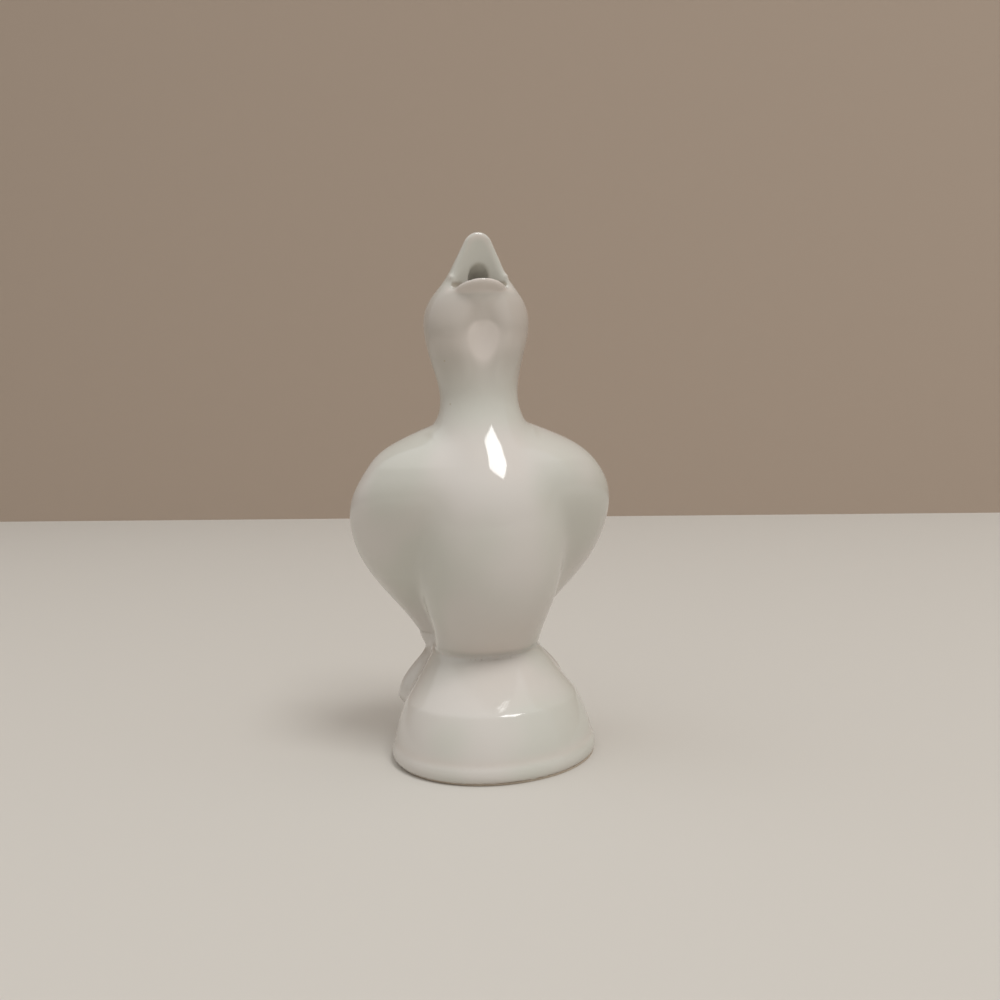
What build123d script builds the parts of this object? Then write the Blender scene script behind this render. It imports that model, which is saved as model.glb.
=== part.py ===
from build123d import *
from math import cos, radians, sin
import os

# Pie bird: a hollow glazed ceramic steam funnel, slip cast with an even wall and fired in one piece.
# Sizes are in millimetres. The bird faces -Y, stands on z = 0, and the origin is its foot's centre.

# Wall and steam way
wall = 3.0
crown_radius = 1.9
crown_back = 0.6
crown_above_root = 1.3
vent_diameter = 4.2
vent_rise = 30.0
vent_length = 8.0

# Plinth
foot_radius = 22.0
foot_height = 3.8
foot_turn_in = 0.7
foot_ring_height = 0.5
foot_bead = 0.6
band_height = 9.2
band_top_radius = 18.5
band_hollow = 0.1
shoulder_round = 1.1
cone_height = 9.0
cone_hollow = 0.56
waist_radius = 10.0
collar_height = 2.0
arch_width = 8.5
arch_height = 6.6
arch_from_back = 45.0
hollow_slant = 0.45

# Torso
torso_height = 47.5
breast_half_width = 16.0
breast_front = 19.2
back_depth = 14.0

# Wings
wing_half_span = 28.7
wing_thickness = 15.0
wing_sweep = 40.0
wing_set_forward = 4.0
wing_rake = 14.5
wing_slenderness = 0.62
wing_tip_rise = 0.7
wing_tip_round = 3.0

# Tail
tail_height = 38.0
tail_drop = 1.5
tail_root_half_width = 6.0
tail_end_half_width = 19.0
tail_root_back = 12.0
tail_end_back = 20.8
tail_root_half_depth = 3.0
tail_end_half_depth = 8.5
tail_end_round = 1.2

# Neck and head
neck_radius = 8.2
neck_forward = 1.6
neck_height = 7.5
head_height = 18.0
head_half_width = 11.0
head_front = 11.2
head_back = 9.0

# Bill
bill_length = 12.8
bill_root_half_width = 9.6
bill_root_front = 9.8
bill_root_back = 7.6
bill_tip_forward = 8.0
bill_tip_radius = 1.2
palate_radius = 5.6
palate_tip_radius = 1.9
palate_back = 3.8
vent_above_root = 4.1
gape_drop = 2.0
lip_half_width = 6.0
lip_forward = 12.2
lip_above_root = 2.7
lip_slope = 17.0
lip_from_palate = 1.2
throat_half_width = 4.7
throat_forward = 9.8
chin_drop = 5.5

# How far the cutting tools run past what they cut
clear = 1.0

# Heights that follow from the sizes
band_top = foot_height + band_height
cone_top = band_top + cone_height
waist_z = cone_top + collar_height
neck_z = waist_z + torso_height
head_z = neck_z + neck_height
bill_z = head_z + head_height
top_z = bill_z + bill_length
lip_z = bill_z + lip_above_root
vent_z = bill_z + vent_above_root


def mix(start, end, share):
    """The value that lies a share of the way from start to end."""
    return start + (end - start) * share


def oval(z, half_width, front, back):
    """Level oval section that reaches front in -Y and back in +Y."""
    centre = Plane((0, (back - front) / 2, z))
    return centre * Ellipse(half_width, (front + back) / 2)


def slab(low, high):
    """Everything between two heights."""
    reach = 4 * wing_half_span
    return Pos(0, 0, (low + high) / 2) * Box(reach, reach, high - low)


def bird_stations(inset):
    """Height, half width, front and back of the bird's form, each drawn in by the inset."""
    waist = (waist_radius, waist_radius, waist_radius)
    breast = (breast_half_width, breast_front, back_depth)
    neck = (neck_radius, neck_radius + neck_forward, neck_radius - neck_forward)
    head = (head_half_width, head_front, head_back)

    def station(z, small, large, shares):
        sizes = [mix(a, b, share) - inset for a, b, share in zip(small, large, shares)]
        return (z, *sizes)

    return [
        station(waist_z - collar_height, waist, waist, (0, 0, 0)),
        station(waist_z, waist, waist, (0, 0, 0)),
        station(mix(waist_z, neck_z, 0.18), waist, breast, (0.52, 0.52, 0.55)),
        station(mix(waist_z, neck_z, 0.50), waist, breast, (1, 1, 1)),
        station(mix(waist_z, neck_z, 0.76), neck, breast, (0.82, 0.80, 0.80)),
        station(mix(waist_z, neck_z, 0.92), neck, breast, (0.32, 0.32, 0.30)),
        station(mix(neck_z, head_z, 0.50), neck, neck, (0, 0, 0)),
        station(mix(head_z, bill_z, 0.28), neck, head, (0.52, 0.45, 0.60)),
        station(mix(head_z, bill_z, 0.66), neck, head, (1, 1, 1)),
    ]


def bird_form():
    """Outer form of the bird from its waist to the tip of its upper bill."""
    stations = [oval(*station) for station in bird_stations(0)]
    stations.append(oval(bill_z, bill_root_half_width, bill_root_front, bill_root_back))
    root_depth = (bill_root_front + bill_root_back) / 2
    root_forward = (bill_root_front - bill_root_back) / 2
    # How far up the bill each level section lies, and how far it has narrowed and thinned by there
    taper = [(0.28, 0.34, 0.36), (0.58, 0.63, 0.65), (0.83, 0.85, 0.86), (1.0, 1.0, 1.0)]
    for rise, narrowing, thinning in taper:
        half_width = mix(bill_root_half_width, bill_tip_radius, narrowing)
        half_depth = mix(root_depth, bill_tip_radius, thinning)
        forward = mix(root_forward, bill_tip_forward, rise)
        stations.append(oval(mix(bill_z, top_z, rise), half_width, half_depth + forward,
                             half_depth - forward))
    form = loft(stations)
    return fillet(form.edges().sort_by(Axis.Z)[-1], bill_tip_radius * 0.9)


def bird_hollow():
    """Chamber inside the torso, neck and head, one wall inside the outer form, closing at the crown."""
    stations = bird_stations(wall)
    cheeks = stations[-1][1:]
    crown = (crown_radius, crown_radius - crown_back, crown_radius + crown_back)
    closing = [mix(a, b, share) for a, b, share in zip(cheeks, crown, (0.41, 0.54, 0.29))]
    stations.append((mix(head_z, bill_z, 0.90), *closing))
    stations.append((bill_z + crown_above_root, *crown))
    return loft([oval(*station) for station in stations])


def plinth_form():
    """Outer form of the plinth: foot, band, rounded shoulder edge and concave cone."""
    foot_contact = foot_radius - foot_turn_in
    band_foot_radius = foot_radius - foot_bead
    cone_mid_radius = mix(band_top_radius, waist_radius, cone_hollow)
    with BuildPart() as form:
        with BuildSketch(Plane.XZ) as section:
            with BuildLine():
                Line((0, 0), (foot_contact, 0))
                ThreePointArc((foot_contact, 0), (foot_radius, foot_height / 2),
                              (band_foot_radius, foot_height))
                ThreePointArc((band_foot_radius, foot_height),
                              (mix(band_foot_radius, band_top_radius, 0.5) - band_hollow,
                               mix(foot_height, band_top, 0.5)),
                              (band_top_radius, band_top))
                ThreePointArc((band_top_radius, band_top),
                              (cone_mid_radius, mix(band_top, cone_top, 0.5)),
                              (waist_radius, cone_top))
                Line((waist_radius, cone_top), (waist_radius, waist_z))
                Line((waist_radius, waist_z), (0, waist_z))
                Line((0, waist_z), (0, 0))
            make_face()
            shoulder = section.vertices().sort_by_distance((band_top_radius, 0, band_top))[0]
            fillet(shoulder, shoulder_round)
        revolve(axis=Axis.Z)
    return form.part


def plinth_hollow():
    """Bell-shaped hollow of the plinth, open below."""
    slant = wall * hollow_slant
    with BuildPart() as hollow:
        with BuildSketch(Plane.XZ):
            with BuildLine():
                Polyline(
                    (0, -clear),
                    (foot_radius - wall, -clear),
                    (foot_radius - wall, foot_height),
                    (band_top_radius - wall, band_top - slant),
                    (waist_radius - wall, cone_top - slant),
                    (waist_radius - wall, waist_z),
                    (0, waist_z),
                    (0, -clear),
                )
            make_face()
        revolve(axis=Axis.Z)
    return hollow.part


def arch(angle):
    """Steam arch through the rim of the plinth, at an angle from +X."""
    out = (cos(radians(angle)), sin(radians(angle)), 0)
    side = Plane(origin=(0, 0, 0), x_dir=(-out[1], out[0], 0), z_dir=out)
    radius = arch_width / 2
    spring = arch_height - radius
    jambs = Pos(0, (spring - clear) / 2) * Rectangle(arch_width, spring + clear)
    return extrude(side * (jambs + Pos(0, spring) * Circle(radius)), foot_radius + clear)


def wing_form():
    """Outer form of the right wing: a leaf, broad at the shoulder, raked back to a rounded tip."""
    tip = waist_z + wing_tip_rise
    # How far down the wing, how far out and how far back each level section lies, as shares
    leaf = [
        (0.00, 0.345, 0.20),
        (0.04, 0.515, 0.22),
        (0.10, 0.700, 0.15),
        (0.19, 0.864, 0.05),
        (0.32, 0.983, 0.06),
        (0.46, 1.000, 0.24),
        (0.62, 0.934, 0.50),
        (0.78, 0.767, 0.77),
        (0.91, 0.590, 0.95),
        (1.00, 0.490, 1.00),
    ]
    sections = []
    for fall, out, back in leaf:
        half_length = wing_half_span * out / 2
        half_width = min(wing_thickness / 2, half_length * wing_slenderness)
        spread = ((half_length * cos(radians(wing_sweep))) ** 2
                  + (half_width * sin(radians(wing_sweep))) ** 2) ** 0.5
        centre_x = wing_half_span * out - spread
        centre_y = wing_rake * back - wing_set_forward
        level = Plane((centre_x, centre_y, mix(neck_z, tip, fall)))
        sections.append(level * Rot(0, 0, wing_sweep) * Ellipse(half_length, half_width))
    end = [sections[-1]]
    for turn in (25, 50, 75):
        drawn_in = wing_tip_round * (1 - cos(radians(turn)))
        level = Plane((centre_x, centre_y, tip - wing_tip_round * sin(radians(turn))))
        end.append(level * Rot(0, 0, wing_sweep) * Ellipse(half_length - drawn_in, half_width - drawn_in))
    return loft(sections) + loft(end)


def tail_form():
    """Outer form of the tail: it leaves the back, widens downwards and ends on the plinth's rear."""
    low = band_top - tail_drop
    # How far up the tail each level section lies, and how far it has narrowed, leant in and thinned
    fan = [
        (0.00, 0.00, 0.00, 0.00),
        (0.16, 0.26, 0.14, 0.21),
        (0.34, 0.49, 0.24, 0.45),
        (0.53, 0.69, 0.33, 0.69),
        (0.76, 0.85, 0.62, 0.85),
        (1.00, 1.00, 1.00, 1.00),
    ]
    sections = []
    for rise, narrowing, lean, thinning in fan:
        half_width = mix(tail_end_half_width, tail_root_half_width, narrowing)
        back = mix(tail_end_back, tail_root_back, lean)
        half_depth = mix(tail_end_half_depth, tail_root_half_depth, thinning)
        sections.append(oval(low + tail_height * rise, half_width, 2 * half_depth - back, back))
    form = loft(sections)
    return fillet(form.edges().sort_by(Axis.Z)[0], tail_end_round)


def above_lip_slope():
    """Everything above the plane that rises forwards to the lip of the lower bill."""
    tilt = radians(lip_slope)
    slope = Plane((0, -lip_forward, lip_z), z_dir=(0, sin(tilt), cos(tilt)))
    return slope * Pos(0, 0, 2 * head_height) * Box(8 * lip_forward, 8 * lip_forward, 4 * head_height)


def gape():
    """Space between the open bills: above the lip's slope and in front of the scooped palate."""
    root = Plane((0, -palate_back - palate_radius, bill_z - gape_drop))
    middle = Plane((0, -palate_back - palate_radius, mix(bill_z, top_z, 0.4)))
    tip = Plane((0, -bill_tip_forward - palate_tip_radius, top_z + clear / 2))
    scoop = loft([
        root * Circle(palate_radius * 1.1),
        middle * Circle(palate_radius * 0.85),
        tip * Circle(palate_tip_radius),
    ])
    return scoop & above_lip_slope()


def vent():
    """Steam vent: a round hole that rises forwards from the head's chamber to the palate."""
    rise = radians(vent_rise)
    outlet = Plane((0, -palate_back - 2 * clear, vent_z), z_dir=(0, -cos(rise), sin(rise)))
    return outlet * Pos(0, 0, clear - vent_length / 2) * Cylinder(vent_diameter / 2, vent_length)


def lip_form():
    """Outer form of the lower bill, which spreads upwards and forwards from the throat."""
    return loft([
        oval(bill_z - chin_drop, throat_half_width, throat_forward, 0),
        oval(bill_z - clear, mix(throat_half_width, lip_half_width, 0.3),
             mix(throat_forward, lip_forward, 0.3), 0),
        oval(lip_z + clear, lip_half_width, lip_forward, 0),
    ])


def lip_block():
    """Space that the lower bill takes: in front of the palate, from the bill's root to the lip's slope."""
    depth = 2 * head_height
    height = lip_z - bill_z + 2 * clear
    back = -palate_back - lip_from_palate
    return Pos(0, back - depth / 2, bill_z + height / 2 - clear) * Box(2 * depth, depth, height) - above_lip_slope()


whole = bird_form()
mouth = gape()
steam_way = bird_hollow() + vent()
plinth_outside = plinth_form()
steam_arches = arch(90 - arch_from_back) + arch(90 + arch_from_back)
plinth_shell = plinth_outside - plinth_hollow() - steam_arches

shell = whole - steam_way
lower_bill = (shell & slab(bill_z, lip_z) & lip_block()) + (lip_form() - whole) - above_lip_slope()
upper_bill = (shell & slab(bill_z, top_z + clear)) - lip_block() - mouth

right_wing = wing_form() - whole - plinth_outside
left_wing = mirror(right_wing, Plane.YZ)
tail = tail_form() - whole - plinth_outside - right_wing - left_wing

parts = {
    "foot_ring": plinth_shell & slab(0, foot_ring_height),
    "plinth": plinth_shell & slab(foot_ring_height, waist_z),
    "torso": shell & slab(waist_z, neck_z),
    "neck": shell & slab(neck_z, head_z),
    "head": shell & slab(head_z, bill_z),
    "upper_bill": upper_bill,
    "lower_bill": lower_bill,
    "left_wing": left_wing,
    "right_wing": right_wing,
    "tail": tail,
}

os.makedirs("parts", exist_ok=True)
for name, part in parts.items():
    export_step(part, f"parts/{name}.step")
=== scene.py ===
from math import asin, cos, pi, radians, sin, tan

import bpy
import numpy as np
from bpy.props import FloatProperty, FloatVectorProperty, PointerProperty
from mathutils import Matrix, Quaternion, Vector


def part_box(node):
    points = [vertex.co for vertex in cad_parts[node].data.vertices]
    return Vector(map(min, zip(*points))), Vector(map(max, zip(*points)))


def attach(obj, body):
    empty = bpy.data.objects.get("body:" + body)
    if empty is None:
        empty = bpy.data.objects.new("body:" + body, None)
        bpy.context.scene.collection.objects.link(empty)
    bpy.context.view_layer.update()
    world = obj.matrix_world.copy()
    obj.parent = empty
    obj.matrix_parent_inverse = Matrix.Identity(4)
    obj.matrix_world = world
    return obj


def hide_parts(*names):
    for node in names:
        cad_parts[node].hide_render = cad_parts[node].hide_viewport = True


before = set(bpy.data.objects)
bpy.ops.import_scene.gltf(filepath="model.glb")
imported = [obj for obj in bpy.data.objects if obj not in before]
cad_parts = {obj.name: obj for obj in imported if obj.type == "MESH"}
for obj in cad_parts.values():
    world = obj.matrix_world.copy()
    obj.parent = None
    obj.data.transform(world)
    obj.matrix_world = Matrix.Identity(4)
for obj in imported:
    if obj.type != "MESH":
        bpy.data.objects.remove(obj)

bl_info = {
    "name": "Glazed pie bird",
    "version": (1, 0, 0),
    "blender": (4, 5, 0),
    "location": "3D View > Sidebar > Pie Bird",
    "description": "Glazed casting, bare foot and stage of a hollow ceramic pie bird",
    "category": "Add Mesh",
}

# Heights and the foot's radius are in millimetres, as all sums on the form are.
MM = 0.001
FOOT_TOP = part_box("foot_ring")[1].z / MM
TORSO_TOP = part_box("torso")[1].z / MM
NECK_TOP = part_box("neck")[1].z / MM
HEAD_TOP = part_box("head")[1].z / MM
BILL_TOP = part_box("upper_bill")[1].z / MM
FOOT_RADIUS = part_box("plinth")[1].x / MM
# Forms that the glaze line cuts run on to this height, and ends that nothing shows get this rounding.
UNDER_FLOOR = -8.0
HIDDEN_ROUND = 0.1
CERAMIC_NODES = (
    "plinth", "torso", "neck", "head", "upper_bill", "lower_bill", "left_wing", "right_wing", "tail",
)


def size(name, description, millimetres):
    """A length in the panel, given here in millimetres and kept in metres."""
    return FloatProperty(name=name, description=description, default=millimetres * MM,
                         unit="LENGTH", precision=5)


def angle(name, description, degrees):
    """An angle in the panel, given here in degrees and kept in radians."""
    return FloatProperty(name=name, description=description, default=radians(degrees), unit="ROTATION")


def share(name, description, value):
    """A plain number in the panel."""
    return FloatProperty(name=name, description=description, default=value, precision=3)


def colour(name, description, red, green, blue):
    """A linear colour in the panel."""
    return FloatVectorProperty(name=name, description=description, subtype="COLOR", size=3,
                               min=0.0, max=1.0, default=(red, green, blue))


class PlinthSizes(bpy.types.PropertyGroup):
    """Foot, band, shoulder and cone"""
    foot_height: size("Foot height", "Height of the rounded foot", 3.8)
    foot_turn_in: size("Foot turn in", "How far the foot turns in where it stands", 0.7)
    foot_bead: size("Foot bead", "How far the foot stands out under the band", 0.6)
    band_height: size("Band height", "Height of the plain band above the foot", 9.2)
    band_top_radius: size("Band top radius", "Radius of the shoulder edge", 18.2)
    band_bulge: size("Band bulge", "How far the band swells half way up", 0.4)
    cone_height: size("Cone height", "Height of the cone above the shoulder", 9.0)
    cone_hollow: share("Cone hollow", "How far the cone has narrowed half way up", 0.52)
    waist_radius: size("Waist radius", "Radius of the cone's top, where the belly sits", 11.6)
    waist_set_back: size("Waist set back", "How far behind the middle the cone's top lies", 4.8)
    edge_softness: size("Edge softness", "How soft the glaze leaves the plinth's edges", 0.45)
    arch_width: size("Arch width", "Width of each steam arch", 8.5)
    arch_height: size("Arch height", "Height of each steam arch", 6.6)
    arch_from_back: angle("Arch bearing", "Angle of each steam arch from the back", 45.0)
    wall: size("Wall", "Thickness of the cast wall", 3.0)


class BodySizes(bpy.types.PropertyGroup):
    """Breast, back, neck and head"""
    waist_half_width: size("Waist half width", "Half the belly's width where it sits on the cone", 11.3)
    breast_half_width: size("Breast half width", "Half the breast's width", 16.0)
    breast_front: size("Breast front", "How far the breast stands forward", 19.2)
    back_depth: size("Back depth", "How far the back stands back", 14.0)
    belly_front: size("Belly front", "How far the belly's foot stands forward", 6.8)
    rump_back: size("Rump back", "How far the rump stands back", 14.5)
    belly_round: size("Belly round", "How round the belly ends on the cone", 2.2)
    neck_radius: size("Neck radius", "Radius of the neck", 8.2)
    neck_forward: size("Neck forward", "How far the neck leans forward", 1.6)
    head_half_width: size("Head half width", "Half the head's width across the cheeks", 11.0)
    head_front: size("Head front", "How far the head stands forward", 11.2)
    head_back: size("Head back", "How far the head stands back", 9.0)
    throat_depth: size("Throat depth", "Depth of the hollow under the lower bill", 1.9)
    wing_softness: size("Wing softness", "Roundness of the valley between wing and body", 4.2)
    front_softness: size("Front softness", "Roundness of the crease between belly and cone", 2.6)
    tail_softness: size("Tail softness", "Roundness of the valley between tail and back", 4.5)
    rear_softness: size("Rear softness", "Roundness of the valley where the tail meets the plinth", 3.2)
    foot_lean: size("Foot lean", "How far the casting's foot is set to the left", 0.3)
    body_lean: size("Body lean", "How far the casting's body leans to the right", 0.25)
    neck_lean: size("Neck lean", "How far the casting's neck leans to the left", 0.25)
    bill_lean: size("Bill lean", "How far the casting's bill leans to the right", 0.12)


class WingSizes(bpy.types.PropertyGroup):
    """Folded wings and tail"""
    half_span: size("Wing half span", "How far each wing reaches from the middle", 28.35)
    thickness: size("Wing thickness", "Thickness of a wing", 15.0)
    sweep: angle("Wing sweep", "Angle by which a wing turns back", 40.0)
    set_forward: size("Wing set forward", "How far forward a wing starts", 4.0)
    rake: size("Wing rake", "How far back a wing's tip lies", 14.5)
    slenderness: share("Wing slenderness", "Largest thickness as a share of the length", 0.62)
    tip_rise: size("Wing tip rise", "Height of a wing's tip above the cone", 2.7)
    tip_round: size("Wing tip round", "Roundness of a wing's tip", 3.0)
    tail_height: size("Tail height", "Height of the tail", 40.5)
    tail_drop: size("Tail drop", "How far the tail ends below the shoulder", 4.0)
    tail_root_half_width: size("Tail root", "Half the tail's width at its top", 6.0)
    tail_end_half_width: size("Tail end", "Half the tail's width at its end", 19.4)
    tail_root_back: size("Tail root depth", "How far back the tail's top lies", 12.0)
    tail_end_back: size("Tail end depth", "How far back the tail's end lies", 20.8)
    tail_root_half_depth: size("Tail root thickness", "Half the tail's thickness at its top", 3.0)
    tail_end_half_depth: size("Tail end thickness", "Half the tail's thickness at its end", 8.5)
    tail_round: size("Tail round", "Roundness of the tail's end", 2.5)


class BillSizes(bpy.types.PropertyGroup):
    """Upper bill, lower bill and vent"""
    root_half_width: size("Bill half width", "Half the bill's width at its root", 9.6)
    root_front: size("Bill front", "How far forward the bill's root lies", 9.8)
    root_back: size("Bill back", "How far back the bill's root lies", 7.6)
    tip_drop: size("Bill tip drop", "How far the soft tip stays below the solid's", 0.1)
    tip_forward: size("Bill tip forward", "How far forward the bill's tip lies", 8.0)
    tip_radius: size("Bill tip radius", "Roundness of the bill's tip", 2.0)
    palate_radius: size("Palate radius", "Radius of the palate's scoop at the bill's root", 14.0)
    palate_tip_radius: size("Palate tip radius", "Radius of the palate's scoop at the bill's tip", 8.0)
    palate_back: size("Palate back", "How far in front of the middle the palate lies", 4.6)
    palate_lean: size("Palate lean", "How far the palate leans forward up to the tip", 4.2)
    palate_fillet: size("Palate fillet", "Roundness where the palate meets the mouth's floor", 3.0)
    lip_half_width: size("Lip half width", "Half the width of the lower bill", 6.0)
    lip_forward: size("Lip forward", "How far forward the lower bill's lip lies", 12.2)
    lip_above_root: size("Lip height", "Height of the lip above the bill's root", 3.2)
    lip_slope: angle("Lip slope", "Slope of the lip's edge, down towards the corners", 20.0)
    lip_thickness: size("Lip thickness", "Width of the lip's rolled edge", 1.6)
    lip_dish: size("Lip dish", "Depth of the mouth's floor behind the lip", 1.2)
    throat_half_width: size("Throat half width", "Half the lower bill's width at the throat", 4.7)
    throat_forward: size("Throat forward", "How far forward the throat lies", 9.2)
    chin_drop: size("Chin drop", "How far the lower bill reaches down the throat", 5.5)
    vent_diameter: size("Vent diameter", "Diameter of the steam vent", 4.2)
    vent_above_root: size("Vent height", "Height of the vent above the bill's root", 4.1)
    vent_out: size("Vent outlet", "How far in front of the middle the vent's axis has that height", 6.6)
    vent_length: size("Vent length", "Length of the vent behind its outlet", 8.0)
    vent_rise: angle("Vent rise", "Angle at which the vent rises forwards", 30.0)


class GlazeLook(bpy.types.PropertyGroup):
    """Colours and surface of the glaze and the bare foot"""
    glaze: colour("Glaze", "Colour of the glaze", 0.63, 0.60, 0.56)
    cool: colour("Cool glaze", "Colour of the glaze's slow greenish drift", 0.58, 0.575, 0.52)
    # This colour is partly thick glaze in hollows and partly painted shade in the creases, such as the one
    # between belly and cone.
    pooled_and_shade: colour("Pooled glaze", "Colour where the glaze lies thick in hollows", 0.38, 0.34, 0.28)
    thin: colour("Thin glaze", "Colour where the glaze runs thin on edges", 0.64, 0.585, 0.535)
    fleck: colour("Fleck", "Colour of the small fired flecks", 0.42, 0.34, 0.22)
    # Painted shade: this darker, warmer colour is laid on the front of the head to stand for the shade there,
    # not for smoke from the kiln.
    head_shade: colour("Smoky glaze", "Colour of the glaze where the kiln has darkened the head", 0.47, 0.42, 0.37)
    drift: size("Drift", "Width of the glaze's slow drifts of colour", 22.0)
    fleck_spacing: size("Fleck spacing", "Distance between neighbouring flecks", 6.0)
    fleck_size: share("Fleck size", "Radius of a fleck as a share of their spacing", 0.03)
    wave_width: size("Wave width", "Width of the glaze's slow waves", 9.0)
    wave_height: size("Wave height", "Height of the glaze's slow waves", 0.025)
    gloss: share("Glaze roughness", "Roughness of the glaze", 0.07)
    fine: size("Fine spacing", "Spacing of the mesh at the bill", 0.42)
    coarse: size("Coarse spacing", "Spacing of the mesh elsewhere", 0.68)
    bare: colour("Bare stoneware", "Colour of the unglazed foot", 0.55, 0.47, 0.38)
    grit: colour("Grit", "Colour of the grit in the unglazed foot", 0.36, 0.29, 0.21)
    grit_width: size("Grit width", "Width of the grit in the unglazed foot", 0.35)
    foot_width: size("Foot width", "Width of the bare ring under the foot", 2.5)
    foot_round: size("Foot round", "Roundness of the bare ring's edges", 0.2)


class StageLook(bpy.types.PropertyGroup):
    """Floor, backdrop, light and camera"""
    floor: colour("Floor", "Colour of the floor", 0.615, 0.59, 0.545)
    backdrop: colour("Backdrop", "Colour of the backdrop", 0.43, 0.345, 0.275)
    floor_back: size("Floor back", "How far behind the bird the floor ends", 513.0)
    floor_turn: angle("Floor turn", "How far the floor's rear edge is turned", -29.9)
    camera_distance: size("Camera distance", "Level distance from the bird's axis", 212.9)
    camera_height: size("Camera height", "Height of the camera", 74.0)
    camera_yaw: angle("Camera yaw", "How far round to the left the camera stands", 9.5)
    camera_pan: angle("Camera pan", "How far right of the bird's axis the camera aims", 2.366)
    camera_pitch: angle("Camera pitch", "How far down the camera aims", 5.26)
    camera_roll: angle("Camera roll", "How far the camera is tilted", 2.55)
    camera_shift: share("Camera shift", "Sideways shift of the picture", -0.025)
    sky: colour("Sky", "Colour of the light from above", 1.0, 0.985, 0.97)
    room: colour("Room", "Colour of the light from the sides", 0.33, 0.295, 0.265)
    sky_strength: share("Sky strength", "Strength of the light from all around", 0.86)
    window_size: size("Window size", "Width of the window-like lamp", 760.0)
    window_distance: size("Window distance", "Distance of the window-like lamp from the bird", 2200.0)
    window_bearing: angle(
        "Window bearing", "How far to the right of straight in front the window-like lamp stands", 25.0)
    window_height: angle("Window height", "Angle at which the window stands above the floor", 58.0)
    window_turn: angle("Window turn", "How far the window-like lamp is turned on its own axis", 42.0)
    window_power: share("Window power", "Power of the window-like lamp in watts", 20.0)


class Sizes:
    """A property group's lengths in millimetres, its angles in radians and its shares as they are."""

    def __init__(self, group):
        for name, prop in group.bl_rna.properties.items():
            if prop.type == "FLOAT" and not prop.is_array:
                value = getattr(group, name)
                setattr(self, name, value / MM if prop.unit == "LENGTH" else value)


def mix(start, end, part):
    """The value that lies a part of the way from start to end."""
    return start + (end - start) * part


def ease(value, low, high):
    """A smooth step from 0 to 1 between two values."""
    part = np.clip((value - low) / (high - low), 0, 1)
    return part * part * (3 - 2 * part)


def batten(knots, values, at):
    """Values of a curve through the knots that bends as a thin batten does."""
    knots, values = np.asarray(knots, float), np.asarray(values, float)
    gaps = np.diff(knots)
    slopes = np.diff(values) / gaps
    inner = len(knots) - 2
    system = (np.diag(2 * (gaps[:-1] + gaps[1:])) + np.diag(gaps[1:-1], 1) + np.diag(gaps[1:-1], -1))
    bends = np.zeros(inner + 2)
    bends[1:-1] = np.linalg.solve(system, 6 * np.diff(slopes))
    at = np.clip(at, knots[0], knots[-1])
    span = np.clip(np.searchsorted(knots, at) - 1, 0, inner)
    before, after, gap = at - knots[span], knots[span + 1] - at, gaps[span]
    return ((bends[span] * after ** 3 + bends[span + 1] * before ** 3) / (6 * gap)
            + (values[span] / gap - bends[span] * gap / 6) * after
            + (values[span + 1] / gap - bends[span + 1] * gap / 6) * before)


def union(first, second, softness):
    """Distance to two forms joined with a fillet of the given softness."""
    near = np.clip(softness - np.abs(first - second), 0, None) / softness
    return np.minimum(first, second) - near ** 3 * softness / 6


def carve(form, tool, softness):
    """Distance to a form with a tool's shape taken away and the edge rounded."""
    return -union(-form, tool, softness)


def rounded(outline, z, low, high, low_round, high_round):
    """Distance to a form that has the outline between two heights, with its ends rounded over."""
    middle = (low + high) / 2
    turn = np.where(z < middle, low_round, high_round)
    across, above = outline + turn, np.abs(z - middle) - (high - low) / 2 + turn
    outside = np.hypot(np.maximum(across, 0), np.maximum(above, 0))
    return outside + np.minimum(np.maximum(across, above), 0) - turn


def ellipse(u, v, half_u, half_v):
    """Distance, near the edge, to an ellipse on its own axes."""
    reach = np.hypot(u / half_u, v / half_v) + 1e-9
    steep = np.hypot(u / half_u ** 2, v / half_v ** 2) + 1e-9
    return reach * (reach - 1) / steep


def oval(x, y, half_width, front, back):
    """Distance, near the edge, to an oval that reaches front in -Y and back in +Y."""
    return ellipse(x, y - (back - front) / 2, half_width, (front + back) / 2)


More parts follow.
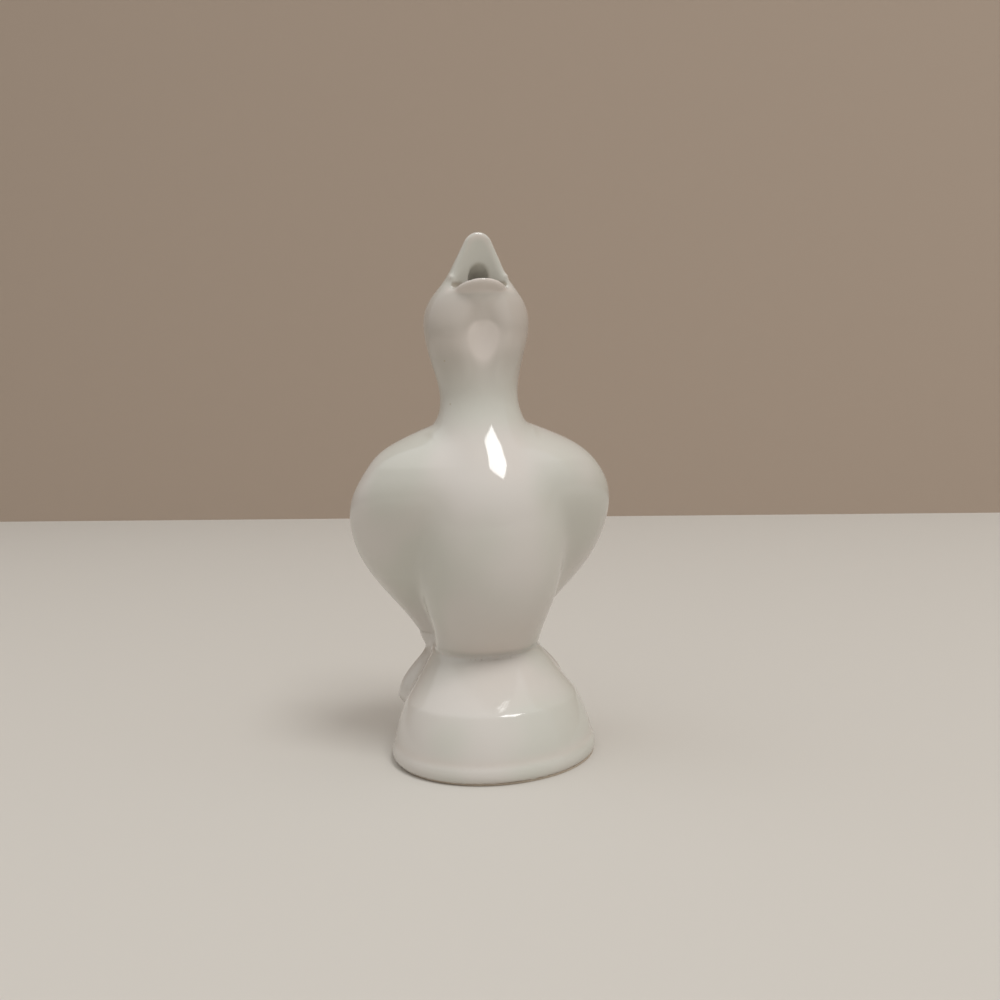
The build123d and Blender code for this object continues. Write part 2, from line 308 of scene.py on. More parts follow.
class Bird:
    """The casting's form: distances in millimetres to its surfaces, negative inside."""

    def __init__(self, scene):
        self.plinth = Sizes(scene.plinth_sizes)
        self.body = Sizes(scene.body_sizes)
        self.wing = Sizes(scene.wing_sizes)
        self.bill = Sizes(scene.bill_sizes)
        self.band_top = self.plinth.foot_height + self.plinth.band_height
        self.cone_top = self.band_top + self.plinth.cone_height
        self.tip_z = BILL_TOP - self.bill.tip_drop
        self.lip_z = HEAD_TOP + self.bill.lip_above_root
        self.vent_z = HEAD_TOP + self.bill.vent_above_root
        self.profile = self.plinth_profile()
        self.outer = self.body_stations(0) + self.bill_stations()
        self.inner = self.body_stations(self.plinth.wall) + self.crown_stations()

    def body_stations(self, inset):
        """Heights, half widths, fronts and backs of the body's level sections, drawn in by the inset."""
        body = self.body
        waist = (body.waist_half_width, body.belly_front, body.rump_back)
        breast = (body.breast_half_width, body.breast_front, body.back_depth)
        neck = (body.neck_radius, body.neck_radius + body.neck_forward, body.neck_radius - body.neck_forward)
        head = (body.head_half_width, body.head_front, body.head_back)

        def station(z, small, large, parts):
            return (z, *(mix(a, b, part) - inset for a, b, part in zip(small, large, parts)))

        return [
            station(self.cone_top, waist, waist, (0, 0, 0)),
            station(mix(self.cone_top, TORSO_TOP, 0.05), waist, breast, (0.02, 0.20, 0)),
            station(mix(self.cone_top, TORSO_TOP, 0.21), waist, breast, (0.47, 0.66, 0.40)),
            station(mix(self.cone_top, TORSO_TOP, 0.52), waist, breast, (1, 1, 1)),
            station(mix(self.cone_top, TORSO_TOP, 0.77), neck, breast, (0.82, 0.80, 0.80)),
            station(mix(self.cone_top, TORSO_TOP, 0.92), neck, breast, (0.36, 0.34, 0.34)),
            station(mix(TORSO_TOP, NECK_TOP, 0.60), neck, neck, (0, 0, 0)),
            station(mix(NECK_TOP, HEAD_TOP, 0.28), neck, head, (0.48, 0.43, 0.60)),
            station(mix(NECK_TOP, HEAD_TOP, 0.66), neck, head, (1, 1, 1)),
        ]

    def bill_stations(self):
        """Sections of the upper bill, from its root to its tip."""
        bill = self.bill
        root_depth = (bill.root_front + bill.root_back) / 2
        root_forward = (bill.root_front - bill.root_back) / 2
        stations = []
        for rise, narrowing, thinning in (
                (0, 0, 0), (0.28, 0.37, 0.36), (0.58, 0.66, 0.65), (0.83, 0.875, 0.87), (1, 1, 1)):
            half_width = mix(bill.root_half_width, bill.tip_radius, narrowing)
            half_depth = mix(root_depth, bill.tip_radius, thinning)
            forward = mix(root_forward, bill.tip_forward, rise)
            stations.append((mix(HEAD_TOP, self.tip_z, rise), half_width, half_depth + forward,
                             half_depth - forward))
        return stations

    def crown_stations(self):
        """Sections in which the chamber inside the head closes."""
        cheeks = self.body_stations(self.plinth.wall)[-1][1:]
        crown = (1.9, 1.3, 2.5)
        closing = (mix(a, b, part) for a, b, part in zip(cheeks, crown, (0.41, 0.54, 0.29)))
        return [(mix(NECK_TOP, HEAD_TOP, 0.90), *closing), (HEAD_TOP + 1.3, *crown)]

    def along(self, stations, z):
        """Half width, front and back of the stations' smooth form at each height."""
        columns = list(zip(*stations))
        return [batten(columns[0], column, z) for column in columns[1:]]

    def trunk(self, x, y, z):
        """Breast, neck, head and upper bill as one form."""
        outline = oval(x, y, *self.along(self.outer, z))
        bill_round = 0.95 * self.bill.tip_radius
        return rounded(outline, z, self.cone_top, self.tip_z, self.body.belly_round, bill_round)

    def wings(self, x, y, z):
        """Both folded wings, broad at the shoulder and raked back to a rounded tip.

        Each row of the leaf holds how far down the wing it is, and the reach to the side and the rake there.
        """
        wing = self.wing
        tip = self.cone_top + wing.tip_rise
        leaf = [
            (0.00, 0.335, 0.20),
            (0.04, 0.495, 0.22),
            (0.10, 0.700, 0.15),
            (0.19, 0.864, 0.05),
            (0.32, 0.983, 0.06),
            (0.46, 1.000, 0.24),
            (0.62, 0.922, 0.50),
            (0.78, 0.752, 0.80),
            (0.91, 0.583, 1.02),
            (1.00, 0.478, 1.10),
        ]
        falls, outs, backs = zip(*leaf)
        fall = np.clip((TORSO_TOP - z) / (TORSO_TOP - tip), 0, 1)
        out, back = batten(falls, outs, fall), batten(falls, backs, fall)
        half_length = wing.half_span * out / 2
        half_width = np.minimum(wing.thickness / 2, half_length * wing.slenderness)
        spread = np.hypot(half_length * cos(wing.sweep), half_width * sin(wing.sweep))
        across = np.abs(x) - (wing.half_span * out - spread)
        along = y - (wing.rake * back - wing.set_forward)
        length = across * cos(wing.sweep) + along * sin(wing.sweep)
        width = along * cos(wing.sweep) - across * sin(wing.sweep)
        outline = ellipse(length, width, half_length, half_width)
        return rounded(outline, z, tip - wing.tip_round, TORSO_TOP, wing.tip_round, high_round=1.5)

    def tail(self, x, y, z):
        """Tail that leaves the back, widens downwards and ends on the plinth's rear.

        Each row of the fan holds how far up the tail it is, and how much of the way its half width, its back
        and its half depth have then gone from the tail's end to its root.
        """
        wing = self.wing
        low = self.band_top - wing.tail_drop
        fan = [
            (0.00, 0.00, 0.00, 0.00),
            (0.12, 0.08, 0.08, 0.11),
            (0.22, 0.31, 0.14, 0.21),
            (0.32, 0.58, 0.21, 0.36),
            (0.56, 0.72, 0.33, 0.69),
            (0.78, 0.85, 0.62, 0.85),
            (1.00, 1.00, 1.00, 1.00),
        ]
        rises, narrowings, leans, thinnings = zip(*fan)
        rise = np.clip((z - low) / wing.tail_height, 0, 1)
        half_width = mix(wing.tail_end_half_width, wing.tail_root_half_width, batten(rises, narrowings, rise))
        back = mix(wing.tail_end_back, wing.tail_root_back, batten(rises, leans, rise))
        half_depth = mix(wing.tail_end_half_depth, wing.tail_root_half_depth, batten(rises, thinnings, rise))
        outline = oval(x, y, half_width, 2 * half_depth - back, back)
        return rounded(outline, z, low, low + wing.tail_height, wing.tail_round, high_round=2.5)

    def plinth_profile(self):
        """Heights, radii and slopes of the plinth's outside, with its edges softened by the glaze."""
        plinth = self.plinth
        contact = FOOT_RADIUS - plinth.foot_turn_in
        band_foot = FOOT_RADIUS - plinth.foot_bead
        step, margin = 0.02, 6.0
        z = np.arange(-margin, self.cone_top + margin, step)
        foot_part = np.clip(z / plinth.foot_height, 0, 1)
        foot = (mix(contact, band_foot, foot_part)
                + 4 * foot_part * (1 - foot_part) * (FOOT_RADIUS - mix(contact, band_foot, 0.5)))
        band_part = np.clip((z - plinth.foot_height) / plinth.band_height, 0, 1)
        band = (mix(band_foot, plinth.band_top_radius, band_part)
                + 4 * band_part * (1 - band_part) * plinth.band_bulge)
        cone_part = (z - self.band_top) / (self.cone_top - self.band_top)
        fall = batten((0, 0.5, 1), (0, plinth.cone_hollow, 1), cone_part)
        cone = mix(plinth.band_top_radius, plinth.waist_radius, fall)
        radius = np.where(z < plinth.foot_height, foot, np.where(z < self.band_top, band, cone))
        reach = np.arange(-2 * plinth.edge_softness, 2 * plinth.edge_softness + step / 2, step)
        weight = np.exp(-2 * (reach / plinth.edge_softness) ** 2)
        radius = np.convolve(radius, weight / weight.sum(), mode="same")
        kept = slice(len(reach), -len(reach))
        return z[kept], radius[kept], np.gradient(radius, step)[kept]

    def set_back(self, z):
        """How far behind the middle the cone's level sections lie."""
        rise = np.clip((z - self.band_top) / (self.cone_top - self.band_top), 0, 1.2)
        return self.plinth.waist_set_back * rise

    def plinth_outside(self, x, y, z):
        """Plinth: foot, band, shoulder and cone, turned about the bird's axis."""
        heights, radii, slopes = self.profile
        radius, slope = np.interp(z, heights, radii), np.interp(z, heights, slopes)
        outline = (np.hypot(x, y - self.set_back(z)) - radius) / np.hypot(1, slope)
        return rounded(outline, z, UNDER_FLOOR, self.cone_top, HIDDEN_ROUND, HIDDEN_ROUND)

    def arches(self, x, y, z):
        """Both steam arches, cut through the rear of the plinth's rim."""
        plinth = self.plinth
        radius = plinth.arch_width / 2
        spring = plinth.arch_height - radius
        bearing = pi / 2 - plinth.arch_from_back
        side = y * cos(bearing) - np.abs(x) * sin(bearing)
        out = np.abs(x) * cos(bearing) + y * sin(bearing)
        inner_end = 6.0
        return np.maximum(np.hypot(side, np.maximum(z - spring, 0)) - radius, inner_end - out)

    def throat(self, x, y, z):
        """Egg-shaped tool for the hollow in the throat, between the cheeks."""
        half_width, half_depth, half_height = 5.5, 7.0, 11.0
        middle = mix(NECK_TOP, HEAD_TOP, 0.52)
        front = self.body.head_front + half_depth - self.body.throat_depth
        level = z - middle
        reach = np.sqrt((x / half_width) ** 2 + ((y + front) / half_depth) ** 2 + (level / half_height) ** 2)
        return (reach - 1) * half_width

    def lower_bill(self, x, y, z):
        """Outline of the lower bill, which spreads forwards and upwards from the throat."""
        bill = self.bill
        knots = (HEAD_TOP - bill.chin_drop, HEAD_TOP - 1, self.lip_z + 1)
        parts = (0, 0.3, 1)
        spread = batten(knots, parts, z)
        half_width = mix(bill.throat_half_width, bill.lip_half_width, spread)
        front = mix(bill.throat_forward, bill.lip_forward, spread)
        return oval(x, y, half_width, front, 0)

    def above_lip(self, y, z):
        """Height above the slope on which the lip's edge lies."""
        slope = self.bill.lip_slope
        return (z - self.lip_z + (self.bill.lip_forward + y) * tan(slope)) * cos(slope)

    def gape(self, x, y, z, lower, above):
        """Space between the bills: in front of the scooped palate and above the dished floor."""
        bill = self.bill
        rise = np.clip((z - HEAD_TOP) / (self.tip_z + 1 - HEAD_TOP), 0, 1)
        radius = mix(bill.palate_radius, bill.palate_tip_radius, rise)
        bow = radius - np.sqrt(np.maximum(radius ** 2 - x ** 2, 1))
        upright = 0.92
        behind = (y + bill.palate_back + bill.palate_lean * rise + bow) * upright
        dish = bill.lip_dish * ease(-lower, bill.lip_thickness * 0.6, bill.lip_thickness * 1.8)
        return -union(-behind, above + dish, bill.palate_fillet)

    def vent(self, x, y, z):
        """Round vent that rises forwards from the head's chamber out of the palate."""
        bill = self.bill
        level, height = y + bill.vent_out, z - self.vent_z
        across = height * cos(bill.vent_rise) + level * sin(bill.vent_rise)
        back = level * cos(bill.vent_rise) - height * sin(bill.vent_rise) - bill.vent_length
        return np.maximum(np.hypot(x, across) - bill.vent_diameter / 2, back)

    def outside(self, x, y, z):
        """Distance to the glazed outside, with the mouth open."""
        body, bill = self.body, self.bill
        form = union(self.trunk(x, y, z), self.wings(x, y, z), body.wing_softness)
        form = union(form, self.tail(x, y, z), body.tail_softness)
        crease_softness = mix(body.front_softness, body.rear_softness, ease(y, -4, 8))
        form = union(form, self.plinth_outside(x, y, z), crease_softness)
        form = carve(form, self.throat(x, y, z), softness=3.5)
        lower, above = self.lower_bill(x, y, z), self.above_lip(y, z)
        chin = rounded(lower, z, HEAD_TOP - bill.chin_drop, self.lip_z + 1, 0.5, HIDDEN_ROUND)
        form = union(form, chin, softness=1.4)
        mouth_softness = mix(0.8, 2.0, ease(above, -1, 2))
        form = carve(form, self.gape(x, y, z, lower, above), mouth_softness)
        roll = bill.lip_thickness / 2
        rim = np.hypot(lower + 0.6 * roll, above + roll) - 1.1 * roll
        return union(form, np.maximum(rim, y + bill.palate_back + 1), softness=0.5)

    def steam_way(self, x, y, z):
        """Distance to the hollow of the plinth, body and head."""
        wall = self.plinth.wall
        section = oval(x, y, *self.along(self.inner, z))
        chamber = rounded(section, z, self.cone_top - 1, self.inner[-1][0], low_round=0.2, high_round=1.5)
        # The bell's corners lie lower than the outside's, so that the wall stays even across its slopes.
        lower = 0.45 * wall
        knots = (UNDER_FLOOR - 1, self.plinth.foot_height, self.band_top - lower, self.cone_top - lower)
        radii = (FOOT_RADIUS, FOOT_RADIUS, self.plinth.band_top_radius, self.plinth.waist_radius)
        reach = np.hypot(x, y - self.set_back(z)) - np.interp(z, knots, radii) + wall
        bell = rounded(reach, z, UNDER_FLOOR - 1, self.cone_top + 1, HIDDEN_ROUND, HIDDEN_ROUND)
        return union(chamber, bell, softness=1.0)

    def lean(self, z):
        """How far to the right the hand-finished casting leans at each height."""
        body = self.body
        shoulder = mix(self.cone_top, TORSO_TOP, 0.9)
        side = mix(-body.foot_lean, body.body_lean, ease(z, self.band_top + 4, self.cone_top + 18))
        side = mix(side, -body.neck_lean, ease(z, shoulder - 6, shoulder + 2))
        return mix(side, body.bill_lean, ease(z, NECK_TOP + 4, HEAD_TOP))

    def solid(self, points):
        """Distance to the glazed clay: outside, steam way, vent, arches and the glaze line of the foot."""
        x, y, z = points[..., 0] - self.lean(points[..., 2]), points[..., 1], points[..., 2]
        form = carve(self.outside(x, y, z), self.steam_way(x, y, z), softness=0.3)
        form = carve(form, self.vent(x, y, z), softness=0.35)
        form = carve(form, self.arches(x, y, z), softness=0.8)
        return carve(form, z - FOOT_TOP, softness=0.2)

    def slope(self, points, step=0.02):
        """Distance and the direction and steepness in which it grows, from four samples."""
        corners = np.array([(1, -1, -1), (-1, -1, 1), (-1, 1, -1), (1, 1, 1)], float) * step
        samples = [self.solid(points + corner) for corner in corners]
        rise = sum(sample[:, None] * corner for sample, corner in zip(samples, corners)) / (4 * step ** 2)
        return sum(samples) / 4, rise

    def settle(self, points, rounds):
        """Points moved along the slope until they lie on the surface."""
        least_steep, longest_step = 0.1, 0.5
        for _ in range(rounds):
            distance, rise = self.slope(points)
            steep = np.maximum((rise ** 2).sum(axis=1), least_steep)
            points = points - rise * np.clip(distance / steep, -longest_step, longest_step)[:, None]
        return points


def levels(low, high, fine_low, fine_high, fine, coarse):
    """Positions between two ends, close together in the fine span and easing to the coarse spacing."""
    easing = 6
    knots = (fine_low - easing, fine_low, fine_high, fine_high + easing)
    positions = [low]
    while positions[-1] < high:
        gap = np.interp(positions[-1], knots, (coarse, fine, fine, coarse))
        positions.append(positions[-1] + gap)
    return np.array(positions)


def cast(solid, *axes):
    """Points and four-sided faces of the surface where a solid's distance changes sign on a grid."""
    slabs = 24
    grid = np.stack(np.meshgrid(*axes, indexing="ij"), axis=-1)
    values = np.concatenate([solid(part) for part in np.array_split(grid, slabs)])
    shape = np.array(values.shape)
    count, total = np.zeros(values.size), np.zeros((values.size, 3))
    faces = []
    for axis in range(3):
        along = np.eye(3, dtype=int)[axis]
        across, up = np.eye(3, dtype=int)[(axis + 1) % 3], np.eye(3, dtype=int)[(axis + 2) % 3]
        near = np.take(values, range(shape[axis] - 1), axis)
        far = np.take(values, range(1, shape[axis]), axis)
        cells = np.argwhere((near < 0) != (far < 0))
        start, end = near[tuple(cells.T)], far[tuple(cells.T)]
        low, high = grid[tuple(cells.T)], grid[tuple((cells + along).T)]
        crossing = mix(low, high, (start / (start - end))[:, None])
        ring = []
        for shift in (-across - up, -up, 0 * up, -across):
            index = np.ravel_multi_index((cells + shift).T, shape)
            count += np.bincount(index, minlength=values.size)
            total += np.stack([np.bincount(index, part, values.size) for part in crossing.T], axis=1)
            ring.append(index)
        ring = np.stack(ring, axis=1)
        faces.append(np.where((start < 0)[:, None], ring, ring[:, ::-1]))
    used = np.flatnonzero(count)
    number = np.zeros(values.size, int)
    number[used] = np.arange(len(used))
    return total[used] / count[used, None], number[np.concatenate(faces)]


def smooth(bird, points, faces, rounds):
    """Points spread evenly over the surface, each drawn most of the way to the middle of its neighbours."""
    pull = 0.7
    count = np.bincount(faces.ravel(), minlength=len(points)) * 2
    for _ in range(rounds):
        total = np.zeros_like(points)
        for shift in (1, -1):
            beside = points[np.roll(faces, shift, axis=1)].reshape(-1, 3)
            total += np.stack([np.bincount(faces.ravel(), part, len(points)) for part in beside.T], axis=1)
        points = bird.settle(mix(points, total / count[:, None], pull), 1)
    return bird.settle(points, 2)


def hollowness(bird, points):
    """How hollow the surface is at each point: above 0 in a hollow, where the glaze pools and painted shade
    is laid, below 0 on an edge, where the glaze thins.
    """
    _, rise = bird.slope(points)
    steep = np.sqrt((rise ** 2).sum(axis=1)) + 1e-6
    away = rise / steep[:, None]
    reach = 1.6
    open_side = bird.solid(points + away * reach) / (steep * reach)
    clay_side = -bird.solid(points - away * reach) / (steep * reach)
    return np.clip(clay_side - open_side, -1, 1)


def link_piece(name, mesh):
    """New object in the scene, at the origin."""
    piece = bpy.data.objects.new(name, mesh)
    bpy.context.scene.collection.objects.link(piece)
    return piece


class PIEBIRD_OT_casting(bpy.types.Operator):
    """Make the glazed casting in one skin, outside and steam way, from the glaze line to the bill"""
    bl_idname = "piebird.casting"
    bl_label = "Glazed casting"

    def execute(self, context):
        bird = Bird(context.scene)
        look = Sizes(context.scene.glaze_look)
        wing_reach = FOOT_RADIUS * 1.4
        bill_side, bill_front, bill_back, chin = 7.5, -13, -3.5, HEAD_TOP - 3
        right = levels(look.fine / 2, wing_reach, 0, bill_side, look.fine, look.coarse)
        casting, faces = cast(
            bird.solid,
            np.concatenate([-right[::-1], right]),
            levels(-FOOT_RADIUS - 1, FOOT_RADIUS + 1, bill_front, bill_back, look.fine, look.coarse),
            levels(FOOT_TOP - 1.1, BILL_TOP + 1, chin, BILL_TOP + 1, look.fine, look.coarse),
        )
        casting = smooth(bird, casting, faces, rounds=5)
        mesh = bpy.data.meshes.new("glazed_casting")
        mesh.from_pydata((casting * MM).tolist(), [], faces.tolist())
        # The attribute marks hollows, where the darker colour and painted shade go, and edges, where the
        # glaze thins.
        mesh.attributes.new("lie", "FLOAT", "POINT").data.foreach_set("value", hollowness(bird, casting))
        mesh.shade_smooth()
        mesh.materials.append(glaze_material(context.scene.glaze_look))
        piece = link_piece("glazed_casting", mesh)
        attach(piece, "root")
        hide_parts(*CERAMIC_NODES)
        return {"FINISHED"}


class Wire:
    """One value in a material's node tree, so that sums of values read as plain sums."""

    def __init__(self, tree, socket):
        self.tree, self.socket = tree, socket

    def node(self, kind, inputs, output=0, **settings):
        """One output of a new node, its inputs given by name or number as values or wires."""
        node = self.tree.nodes.new(kind)
        for name, value in settings.items():
            setattr(node, name, value)
        for name, value in inputs.items():
            if isinstance(value, Wire):
                self.tree.links.new(value.socket, node.inputs[name])
            else:
                node.inputs[name].default_value = value
        return Wire(self.tree, node.outputs[output])

    def sum_node(self, operation, first, second):
        """Result of one sum."""
        return self.node("ShaderNodeMath", {0: first, 1: second}, operation=operation)

    def __add__(self, other):
        return self.sum_node("ADD", self, other)

    def __radd__(self, other):
        return self.sum_node("ADD", other, self)

    def __sub__(self, other):
        return self.sum_node("SUBTRACT", self, other)

    def __rsub__(self, other):
        return self.sum_node("SUBTRACT", other, self)

    def __mul__(self, other):
        return self.sum_node("MULTIPLY", self, other)

    def __rmul__(self, other):
        return self.sum_node("MULTIPLY", other, self)

    def between(self, low, high):
        """Smooth step from 0 to 1 as the wire goes from low to high."""
        return self.node("ShaderNodeMapRange", {"Value": self, "From Min": low, "From Max": high},
                         interpolation_type="SMOOTHSTEP")

    def blend(self, first, second):
        """Colour between two, which the wire says how far."""
        return self.node("ShaderNodeMix", {0: self, 6: first, 7: second}, 2, data_type="RGBA")

    def noise(self, width, detail):
        """Soft noise with patches of the given width in metres, about a half on average."""
        return self.node("ShaderNodeTexNoise", {"Vector": self, "Scale": 1 / width, "Detail": detail})


def new_material(name, roughness):
    """New material, its object coordinates as a wire, and its shader."""
    material = bpy.data.materials.new(name)
    material.use_nodes = True
    tree = material.node_tree
    shader = tree.nodes["Principled BSDF"]
    shader.inputs["Roughness"].default_value = roughness
    place = Wire(tree, tree.nodes.new("ShaderNodeTexCoord").outputs["Object"])
    return material, place, shader


def opaque(tint):
    """The colour with full alpha."""
    return (*tint, 1)


def shade_on_head(place):
    """How much painted shade the glaze gets: fully on the front of the head, and fading out at the neck, bill
    and back.
    """
    height = place.node("ShaderNodeSeparateXYZ", {0: place}, 2)
    depth = place.node("ShaderNodeSeparateXYZ", {0: place}, 1)
    above_body = height.between(TORSO_TOP * MM, (HEAD_TOP - 8) * MM)
    on_bill = height.between((HEAD_TOP - 3) * MM, (HEAD_TOP + 4) * MM)
    at_back = depth.between(-6 * MM, 4 * MM)
    return above_body * (1 - on_bill) * (1 - at_back)


def glaze_material(look):
    """Glossy white glaze: dark in hollows from thick glaze and painted shade, warm and thin on edges, with a
    few fired flecks and painted shade on the front of the head.
    """
    material, place, shader = new_material("white_glaze", look.gloss)
    tree = material.node_tree
    lie = place.node("ShaderNodeAttribute", {}, 2, attribute_name="lie")
    drift = place.noise(look.drift, 1.0).between(0.38, 0.62)
    tint = drift.blend(opaque(look.glaze), opaque(look.cool))
    # Painted shade: the front of the head is darkened and warmed as if it stood in shade.
    tint = (shade_on_head(place) * 0.8).blend(tint, opaque(look.head_shade))
    unevenness = place.noise(look.wave_width, 2.0) * 0.12 - 0.06
    # Hollows take the darker colour of thick glaze, partly painted shade.
    tint = (lie + unevenness).between(0.08, 0.50).blend(tint, opaque(look.pooled_and_shade))
    tint = (unevenness - lie).between(0.16, 0.80).blend(tint, opaque(look.thin))
    # A fleck sits at the middle of a cell, and only where the chosen patches of a broad noise are.
    cell = place.node("ShaderNodeTexVoronoi", {"Vector": place, "Scale": 1 / look.fleck_spacing})
    chosen = place.noise(look.fleck_spacing * 2.2, 0.0).between(0.60, 0.64)
    fleck = (1 - cell.between(look.fleck_size * 0.4, look.fleck_size * 1.6)) * chosen * 0.7
    tint = fleck.blend(tint, opaque(look.fleck))
    tree.links.new(tint.socket, shader.inputs["Base Color"])
    wave = place.node("ShaderNodeBump", {"Height": place.noise(look.wave_width, 1.0),
                                         "Distance": look.wave_height, "Strength": 1.0})
    tree.links.new(wave.socket, shader.inputs["Normal"])
    shader.inputs["IOR"].default_value = 1.52
    return material


def stoneware_material(look):
    """Matt unglazed stoneware with fine grit."""
    material, place, shader = new_material("bare_stoneware", roughness=0.85)
    tree = material.node_tree
    grit = place.noise(look.grit_width, 3.0)
    tint = grit.between(0.55, 0.75).blend(opaque(look.bare), opaque(look.grit))
    tree.links.new(tint.socket, shader.inputs["Base Color"])
    rough = place.node("ShaderNodeBump", {"Height": grit, "Distance": look.grit_width * 0.1})
    tree.links.new(rough.socket, shader.inputs["Normal"])
    return material


def plain_material(name, tint, roughness):
    """Plain stage material."""
    material, _, shader = new_material(name, roughness)
    shader.inputs["Base Color"].default_value = opaque(tint)
    return material


class PIEBIRD_OT_foot(bpy.types.Operator):
    """Make the bare ring under the foot, which the two steam arches interrupt"""
    bl_idname = "piebird.foot"
    bl_label = "Bare foot"

    def execute(self, context):
        plinth, look = context.scene.plinth_sizes, context.scene.glaze_look
        material = stoneware_material(look)
        radius = FOOT_RADIUS * MM - plinth.foot_turn_in - look.foot_width / 2
        gap = asin(plinth.arch_width / 2 / radius)
        from_back = plinth.arch_from_back
        mesh = grown_mesh("bare_foot", foot_tree(material), {
            "Radius": radius,
            "Width": look.foot_width,
            "Height": FOOT_TOP * MM,
            "Corner": look.foot_round,
            "Rear Start": pi / 2 - from_back + gap,
            "Rear Sweep": 2 * (from_back - gap),
            "Front Start": pi / 2 + from_back + gap,
            "Front Sweep": 2 * (pi - from_back - gap),
        })
        piece = link_piece("bare_foot", mesh)
        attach(piece, "root")
        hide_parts("foot_ring")
        return {"FINISHED"}


def foot_tree(material):
    """Node tree that sweeps a rounded section along the rear and the front arc of the foot."""
    tree = bpy.data.node_groups.new("foot_tree", "GeometryNodeTree")
    tree.interface.new_socket("Geometry", in_out="OUTPUT", socket_type="NodeSocketGeometry")
    for name in ("Radius", "Width", "Height", "Corner", "Rear Start", "Rear Sweep", "Front Start",
                 "Front Sweep"):
        tree.interface.new_socket(name, in_out="INPUT", socket_type="NodeSocketFloat")
    given = tree.nodes.new("NodeGroupInput").outputs

    def node(kind, inputs, **settings):
        new = tree.nodes.new(kind)
        for name, value in settings.items():
            setattr(new, name, value)
        for name, value in inputs.items():
            if isinstance(value, bpy.types.NodeSocket):
                tree.links.new(value, new.inputs[name])
            else:
                new.inputs[name].default_value = value
        return new

    arcs = node("GeometryNodeJoinGeometry", {})
    for part in ("Rear", "Front"):
        arc = node("GeometryNodeCurveArc", {
            "Resolution": 96, "Radius": given["Radius"], "Start Angle": given[part + " Start"],
            "Sweep Angle": given[part + " Sweep"]})
        tree.links.new(arc.outputs["Curve"], arcs.inputs["Geometry"])
    level = node("GeometryNodeSetCurveNormal", {"Curve": arcs.outputs["Geometry"]}, mode="Z_UP")
    block = node("GeometryNodeCurvePrimitiveQuadrilateral", {"Width": given["Width"],
                                                             "Height": given["Height"]})
    section = node("GeometryNodeFilletCurve", {"Curve": block.outputs["Curve"], "Radius": given["Corner"],
                                               "Count": 4}, mode="POLY")
    ring = node("GeometryNodeCurveToMesh", {"Curve": level.outputs["Curve"],
                                            "Profile Curve": section.outputs["Curve"], "Fill Caps": True})
    half = node("ShaderNodeMath", {0: given["Height"], 1: 2.0}, operation="DIVIDE")
    up = node("ShaderNodeCombineXYZ", {"Z": half.outputs[0]})
    seated = node("GeometryNodeTransform", {"Geometry": ring.outputs["Mesh"],
                                            "Translation": up.outputs["Vector"]})
    whole = node("GeometryNodeRealizeInstances", {"Geometry": seated.outputs["Geometry"]})
    clad = node("GeometryNodeSetMaterial", {"Geometry": whole.outputs["Geometry"], "Material": material})
    tree.links.new(clad.outputs["Geometry"], tree.nodes.new("NodeGroupOutput").inputs["Geometry"])
    return tree


def grown_mesh(name, tree, values):
    """Plain mesh that a node tree makes with the given values of its named inputs."""
    seed = link_piece(name + "_seed", bpy.data.meshes.new(name + "_seed"))
    modifier = seed.modifiers.new("tree", "NODES")
    modifier.node_group = tree
    for item in tree.interface.items_tree:
        if item.in_out == "INPUT":
            modifier[item.identifier] = values[item.name]
    grown = seed.evaluated_get(bpy.context.evaluated_depsgraph_get())
    mesh = bpy.data.meshes.new_from_object(grown)
    mesh.name = name
    bpy.data.objects.remove(seed)
    return mesh


class PIEBIRD_OT_stage(bpy.types.Operator):
    """Make the floor, the backdrop, the light and the camera"""
    bl_idname = "piebird.stage"
    bl_label = "Stage"

    def execute(self, context):
        look = context.scene.stage_look
        turn = Matrix.Rotation(look.floor_turn, 3, "Z")
        back, side, front, high = look.floor_back * cos(look.floor_turn), 2.0, 0.6, 1.2
        floor = board("floor", turn, (
            (-side, -front, 0), (side, -front, 0), (side, back, 0), (-side, back, 0)))
        floor.data.materials.append(plain_material("pale_floor", look.floor, roughness=0.8))
        wall = board("backdrop", turn, (
            (-side, back, -high), (side, back, -high), (side, back, high), (-side, back, high)))
        wall.data.materials.append(plain_material("plain_backdrop", look.backdrop, roughness=0.9))
        add_even_light(look)
        add_window(look)
        add_camera(look)
        return {"FINISHED"}


def board(name, turn, corners):
    """One flat four-cornered board, turned about the bird's axis."""
    mesh = bpy.data.meshes.new(name)
    mesh.from_pydata([turn @ Vector(corner) for corner in corners], [], [(0, 1, 2, 3)])
    return link_piece(name, mesh)


def add_even_light(look):
    """Soft light from all around that is palest from above."""
    world = bpy.data.worlds.new("surround")
    bpy.context.scene.world = world
    world.use_nodes = True
    tree = world.node_tree
    way = Wire(tree, tree.nodes.new("ShaderNodeTexCoord").outputs["Generated"])
    rise = way.node("ShaderNodeSeparateXYZ", {0: way}, 2)
    tint = rise.between(-0.1, 0.9).blend(opaque(look.room), opaque(look.sky))
    tree.links.new(tint.socket, tree.nodes["Background"].inputs["Color"])
    tree.nodes["Background"].inputs["Strength"].default_value = look.sky_strength


def add_window(look):
    """Square window-like lamp in front on the right, aimed at the bird's middle."""
    data = bpy.data.lights.new("window", "AREA")
    data.size = look.window_size
    data.energy = look.window_power
    lamp = bpy.data.objects.new("window", data)
    bearing, height = look.window_bearing, look.window_height
    way_out = Vector((sin(bearing) * cos(height), -cos(bearing) * cos(height), sin(height)))
    lamp.location = way_out * look.window_distance + Vector((0, 0, HEAD_TOP * MM / 2))
    lamp.rotation_mode = "QUATERNION"
    lamp.rotation_quaternion = way_out.to_track_quat("Z", "Y") @ Quaternion((0, 0, 1), look.window_turn)
    bpy.context.scene.collection.objects.link(lamp)


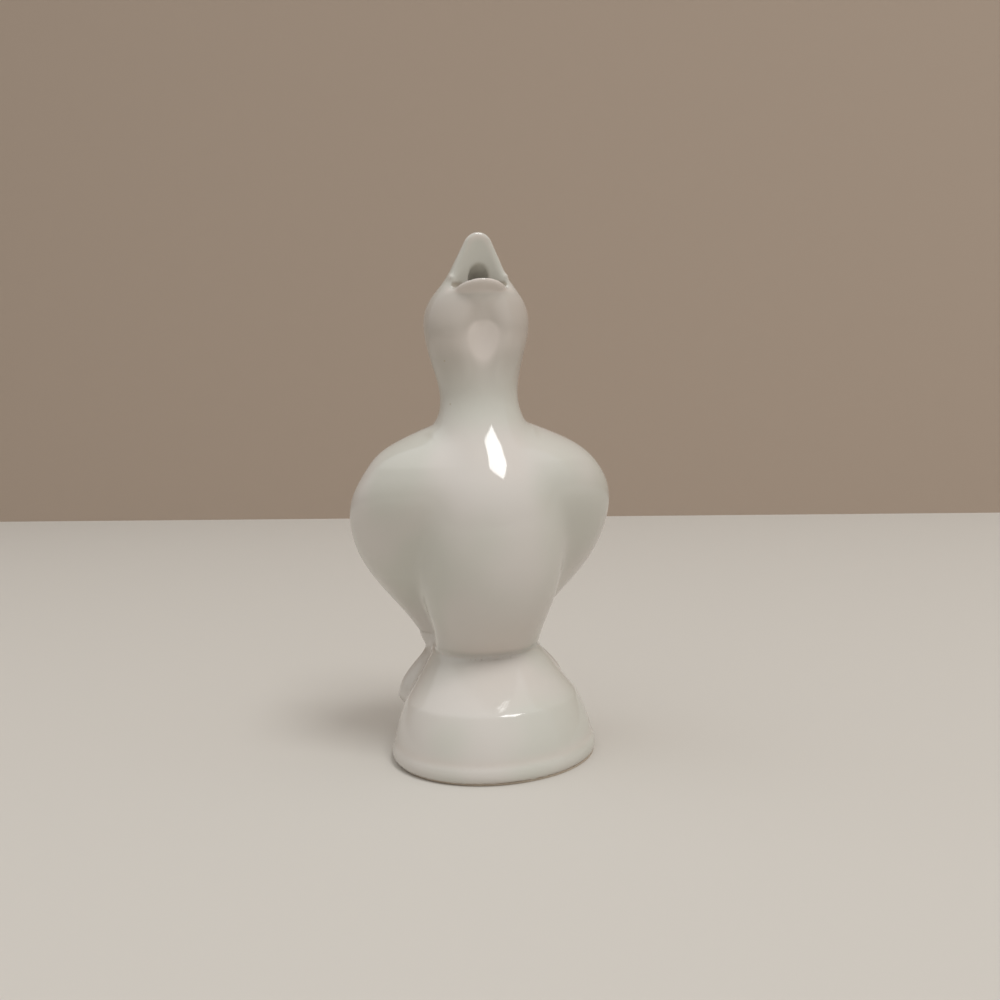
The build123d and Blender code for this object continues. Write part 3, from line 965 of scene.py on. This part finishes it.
def add_camera(look):
    """Camera where the photograph was taken from."""
    spot = Vector((0, -look.camera_distance, look.camera_height))
    forward = Vector((sin(look.camera_pan) * cos(look.camera_pitch),
                      cos(look.camera_pan) * cos(look.camera_pitch), -sin(look.camera_pitch)))
    right = Vector((cos(look.camera_pan), -sin(look.camera_pan), 0))
    up = right.cross(forward)
    tilted_right = right * cos(look.camera_roll) - up * sin(look.camera_roll)
    tilted_up = right * sin(look.camera_roll) + up * cos(look.camera_roll)
    turn = Matrix.Rotation(-look.camera_yaw, 3, "Z")
    axes = Matrix((turn @ tilted_right, turn @ tilted_up, turn @ -forward)).transposed()
    data = bpy.data.cameras.new("camera")
    data.sensor_width = 36.0
    data.lens = 36.0
    data.shift_x = look.camera_shift
    data.clip_start, data.clip_end = 0.01, 20.0
    camera = bpy.data.objects.new("camera", data)
    camera.matrix_world = Matrix.Translation(turn @ spot) @ axes.to_4x4()
    bpy.context.scene.collection.objects.link(camera)
    bpy.context.scene.camera = camera


class PIEBIRD_PT_panel(bpy.types.Panel):
    """Panel in the 3D view's sidebar"""
    bl_idname = "PIEBIRD_PT_panel"
    bl_label = "Pie Bird"
    bl_space_type = "VIEW_3D"
    bl_region_type = "UI"
    bl_category = "Pie Bird"

    def draw(self, context):
        for operator in OPERATORS:
            self.layout.operator(operator.bl_idname)
        for name in GROUPS:
            group = getattr(context.scene, name)
            box = self.layout.box()
            box.label(text=type(group).__doc__)
            for prop in group.bl_rna.properties:
                if prop.identifier not in ("rna_type", "name"):
                    box.prop(group, prop.identifier)


GROUPS = {
    "plinth_sizes": PlinthSizes,
    "body_sizes": BodySizes,
    "wing_sizes": WingSizes,
    "bill_sizes": BillSizes,
    "glaze_look": GlazeLook,
    "stage_look": StageLook,
}
OPERATORS = (PIEBIRD_OT_casting, PIEBIRD_OT_foot, PIEBIRD_OT_stage)


def register():
    """Registers the property groups, the operators and the panel."""
    for name, group in GROUPS.items():
        bpy.utils.register_class(group)
        setattr(bpy.types.Scene, name, PointerProperty(type=group))
    for operator in OPERATORS:
        bpy.utils.register_class(operator)
    bpy.utils.register_class(PIEBIRD_PT_panel)


def unregister():
    """Takes back what register added."""
    bpy.utils.unregister_class(PIEBIRD_PT_panel)
    for operator in reversed(OPERATORS):
        bpy.utils.unregister_class(operator)
    for name, group in reversed(GROUPS.items()):
        delattr(bpy.types.Scene, name)
        bpy.utils.unregister_class(group)


def main():
    """Dresses the model."""
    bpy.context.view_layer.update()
    register()
    bpy.context.scene.view_settings.view_transform = "Standard"
    bpy.ops.piebird.casting()
    bpy.ops.piebird.foot()
    bpy.ops.piebird.stage()


if __name__ == "__main__":
    main()
